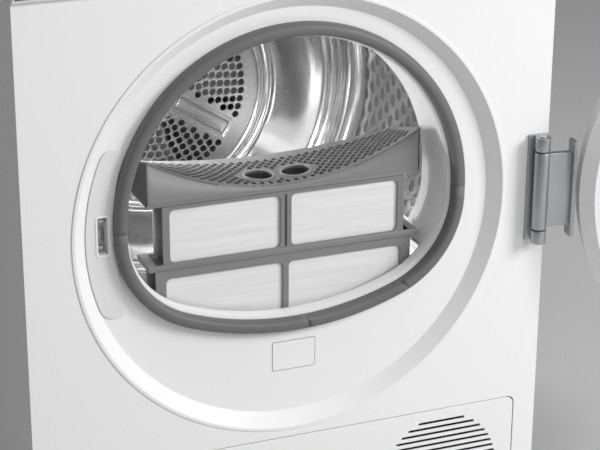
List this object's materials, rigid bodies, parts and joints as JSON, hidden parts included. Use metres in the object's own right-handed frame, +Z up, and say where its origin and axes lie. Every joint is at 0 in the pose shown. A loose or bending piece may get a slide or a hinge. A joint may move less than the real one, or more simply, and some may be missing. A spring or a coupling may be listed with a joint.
{
  "type": "tumble dryer",
  "caption": "Front-loading heat-pump clothes dryer with a side-hinged round door, steel drum, lift-out lint filter, water tank drawer and service flap.",
  "frame": {"origin": "centre of the base tray's underside, on the cabinet's centre line", "axes": "+X to the machine's right seen from the front, +Y from the front into the machine, +Z up"},
  "size_m": [1.1053, 0.7221, 0.842],
  "materials": {
    "white_enamel": "satin white powder coat",
    "white_laminate": "white laminate over chipboard",
    "lifter_plastic": "mid grey plastic",
    "white_plastic": "satin white moulded plastic",
    "liner_plastic": "light grey plastic",
    "latch_plastic": "light grey plastic",
    "rubber_grey": "dull grey rubber",
    "foot_rubber": "black rubber pad",
    "duct_plastic": "mid grey plastic",
    "filter_plastic": "dark grey plastic, fine grain",
    "filter_net": "fine white mesh",
    "drum_steel": "bright stainless steel",
    "zinc_sheet": "galvanised sheet",
    "machined_steel": "turned steel",
    "motor_steel": "grey lacquer",
    "compressor_black": "black lacquer",
    "fin_aluminium": "thin fins",
    "pipe_copper": "copper tube",
    "seal_felt": "wool felt",
    "belt_rubber": "ribbed belt",
    "dark_plastic": "dark grey plastic",
    "bush_bronze": "sintered bronze",
    "display_glass": "blank dark window",
    "board_green": "circuit board",
    "door_glass": "smoked glass"
  },
  "bodies": {
    "cabinet": {"left_side_panel": "white_enamel", "right_side_panel": "white_enamel", "front_panel": "white_enamel", "top_panel": "white_laminate", "door_recess": "white_plastic", "control_panel": "white_plastic", "latch_plate": "latch_plastic", "door_gasket": "rubber_grey", "opening_collar": "duct_plastic", "filter_duct": "duct_plastic", "rear_panel": "zinc_sheet", "front_bulkhead": "zinc_sheet", "rear_bulkhead": "zinc_sheet", "rear_duct_cover": "zinc_sheet", "latch_cup": "zinc_sheet", "hinge_bracket": "zinc_sheet", "tension_arm": "zinc_sheet", "hinge_pin": "machined_steel", "motor": "motor_steel", "compressor": "compressor_black", "evaporator": "fin_aluminium", "condenser": "fin_aluminium", "refrigerant_pipe": "pipe_copper", "drum_seal": "seal_felt", "drum_belt": "belt_rubber", "base_tray": "dark_plastic", "condensate_pump": "dark_plastic", "mains_gland": "dark_plastic", "bearing_bush": "bush_bronze", "display_window": "display_glass", "control_board": "board_green"},
    "drum": {"drum_shell": "drum_steel", "drum_rear_wall": "drum_steel", "lifter_1": "lifter_plastic", "lifter_2": "lifter_plastic", "lifter_3": "lifter_plastic", "drum_shaft": "machined_steel"},
    "motor_rotor": {"motor_pulley": "machined_steel", "fan_wheel": "dark_plastic"},
    "tension_roller": {"tension_pulley": "dark_plastic"},
    "knob": {"program_knob": "latch_plastic"},
    "start": {"start_button": "latch_plastic"},
    "power": {"power_button": "latch_plastic"},
    "tank": {"water_tank": "liner_plastic", "tank_front": "white_plastic"},
    "flap": {"service_flap": "white_plastic"},
    "front_left_foot": {"foot_1": "foot_rubber"},
    "front_right_foot": {"foot_2": "foot_rubber"},
    "rear_left_foot": {"foot_3": "foot_rubber"},
    "rear_right_foot": {"foot_4": "foot_rubber"},
    "door": {"door_ring": "white_plastic", "door_window": "door_glass", "door_liner": "liner_plastic", "door_hook": "zinc_sheet", "hinge_arm": "zinc_sheet"},
    "lint_filter": {"filter_cap": "filter_plastic", "filter_front_frame": "filter_plastic", "filter_rear_frame": "filter_plastic", "filter_front_mesh": "filter_net", "filter_rear_mesh": "filter_net"}
  },
  "joints": [
    {"name": "door_hinge", "type": "hinge", "parent": "cabinet", "child": "door", "pos_m": [0.285, -0.309, 0.451], "axis": [0, 0, 1], "range_deg": [-172, 0]},
    {"name": "filter_lift", "type": "slide", "parent": "cabinet", "child": "lint_filter", "axis": [0, 0, 1], "range_m": [-0.141, 0.025]},
    {"name": "drum_spin", "type": "hinge", "parent": "cabinet", "child": "drum", "pos_m": [0, 0, 0.451], "axis": [0, 1, 0], "continuous": true},
    {"name": "motor_spin", "type": "hinge", "parent": "cabinet", "child": "motor_rotor", "pos_m": [0.15, 0, 0.1], "axis": [0, 1, 0], "continuous": true},
    {"name": "tension_spin", "type": "hinge", "parent": "cabinet", "child": "tension_roller", "pos_m": [0.06, 0, 0.138], "axis": [0, 1, 0], "continuous": true},
    {"name": "knob_turn", "type": "hinge", "parent": "cabinet", "child": "knob", "pos_m": [0.006, -0.295, 0.764], "axis": [0, 1, 0], "continuous": true},
    {"name": "start_press", "type": "slide", "parent": "cabinet", "child": "start", "axis": [0, 1, 0], "range_m": [0, 0.0025], "stiffness_N_per_m": 400},
    {"name": "power_press", "type": "slide", "parent": "cabinet", "child": "power", "axis": [0, 1, 0], "range_m": [0, 0.0025], "stiffness_N_per_m": 400},
    {"name": "tank_pull", "type": "slide", "parent": "cabinet", "child": "tank", "axis": [0, -1, 0], "range_m": [0, 0.3]},
    {"name": "flap_hinge", "type": "hinge", "parent": "cabinet", "child": "flap", "pos_m": [0, -0.2938, 0.0285], "axis": [1, 0, 0], "range_deg": [0, 90]},
    {"name": "front_left_foot_screw", "type": "slide", "parent": "cabinet", "child": "front_left_foot", "axis": [0, 0, 1], "range_m": [-0.01, 0]},
    {"name": "front_right_foot_screw", "type": "slide", "parent": "cabinet", "child": "front_right_foot", "axis": [0, 0, 1], "range_m": [-0.01, 0]},
    {"name": "rear_left_foot_screw", "type": "slide", "parent": "cabinet", "child": "rear_left_foot", "axis": [0, 0, 1], "range_m": [-0.01, 0]},
    {"name": "rear_right_foot_screw", "type": "slide", "parent": "cabinet", "child": "rear_right_foot", "axis": [0, 0, 1], "range_m": [-0.01, 0]}
  ],
  "couplings": [
    {"joint": "motor_spin", "follows": "drum_spin", "ratio": 25.228},
    {"joint": "tension_spin", "follows": "drum_spin", "ratio": 12.291}
  ]
}
